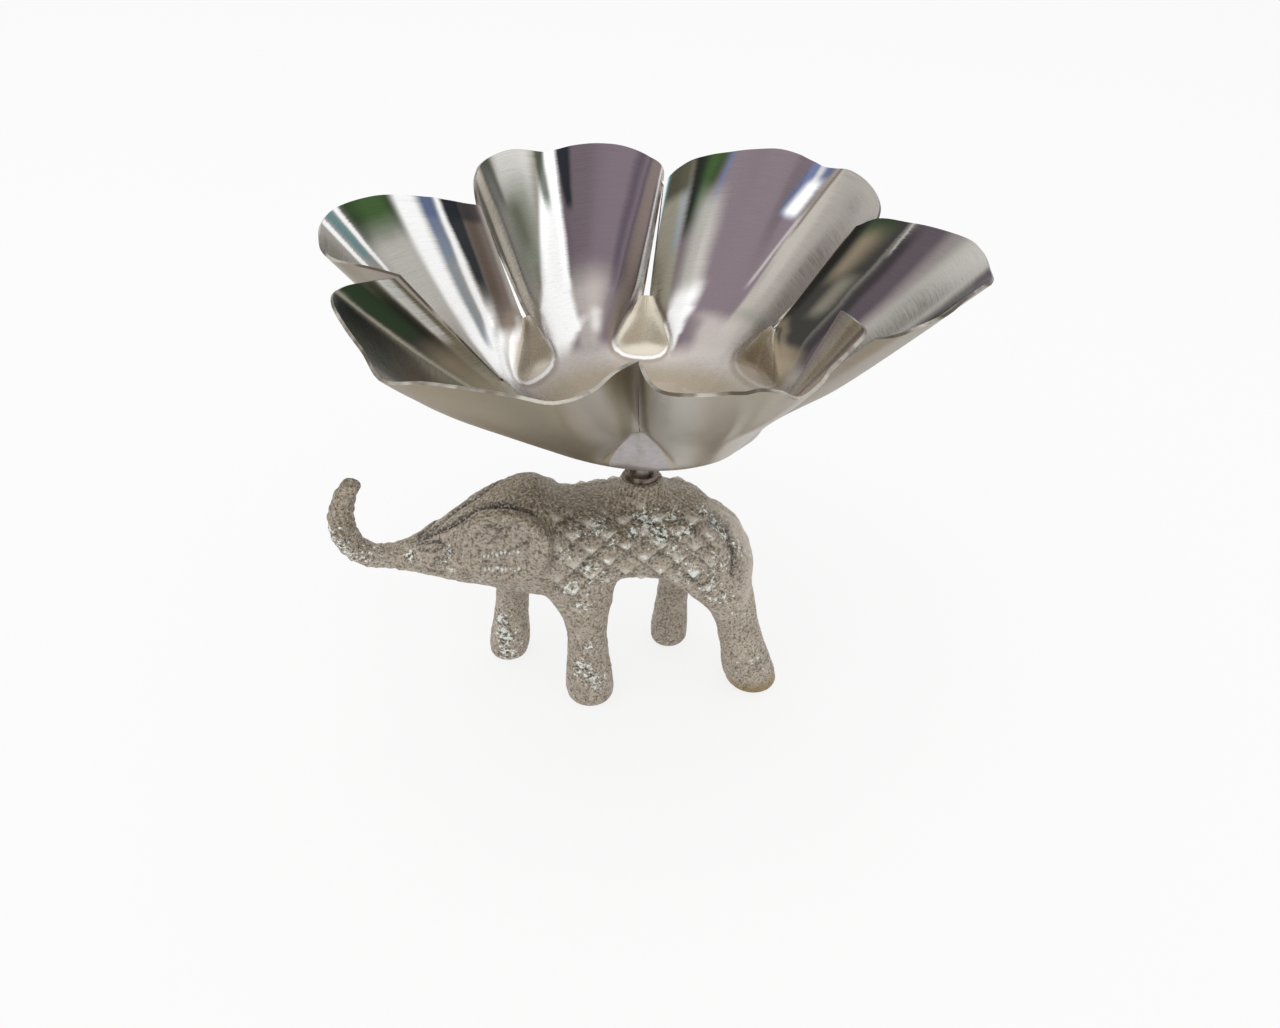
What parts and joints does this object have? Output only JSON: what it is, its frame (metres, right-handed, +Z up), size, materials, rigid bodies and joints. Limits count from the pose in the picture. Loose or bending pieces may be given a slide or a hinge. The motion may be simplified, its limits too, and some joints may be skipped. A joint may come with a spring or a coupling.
{
  "type": "offering bowl",
  "caption": "Petal-edged sheet-metal offering bowl on a short post, screwed to the back of a cast elephant with a raised trunk, and free to turn on its screw.",
  "frame": {"origin": "on the table, straight under the axis of the bowl's screw", "axes": "+Z up along the screw, the elephant's head and trunk towards -X, its near flank, the one that the picture shows, towards -Y"},
  "size_m": [0.1147, 0.1016, 0.1002],
  "materials": {
    "casting": "sand-cast and silver plated, left rough",
    "bowl_sheet": "silver plated and brushed",
    "fixings": "silver plated, satin",
    "screw": "nickel plated"
  },
  "bodies": {
    "stand": {"elephant_casting": "casting", "foot_ring": "fixings", "spacer_post": "fixings", "head_washer": "fixings", "bowl_screw": "screw"},
    "bowl": {"petal_bowl": "bowl_sheet"}
  },
  "joints": [
    {"name": "bowl_turn", "type": "hinge", "parent": "stand", "child": "bowl", "pos_m": [0, 0, 0.0572], "axis": [0, 0, 1], "continuous": true}
  ]
}
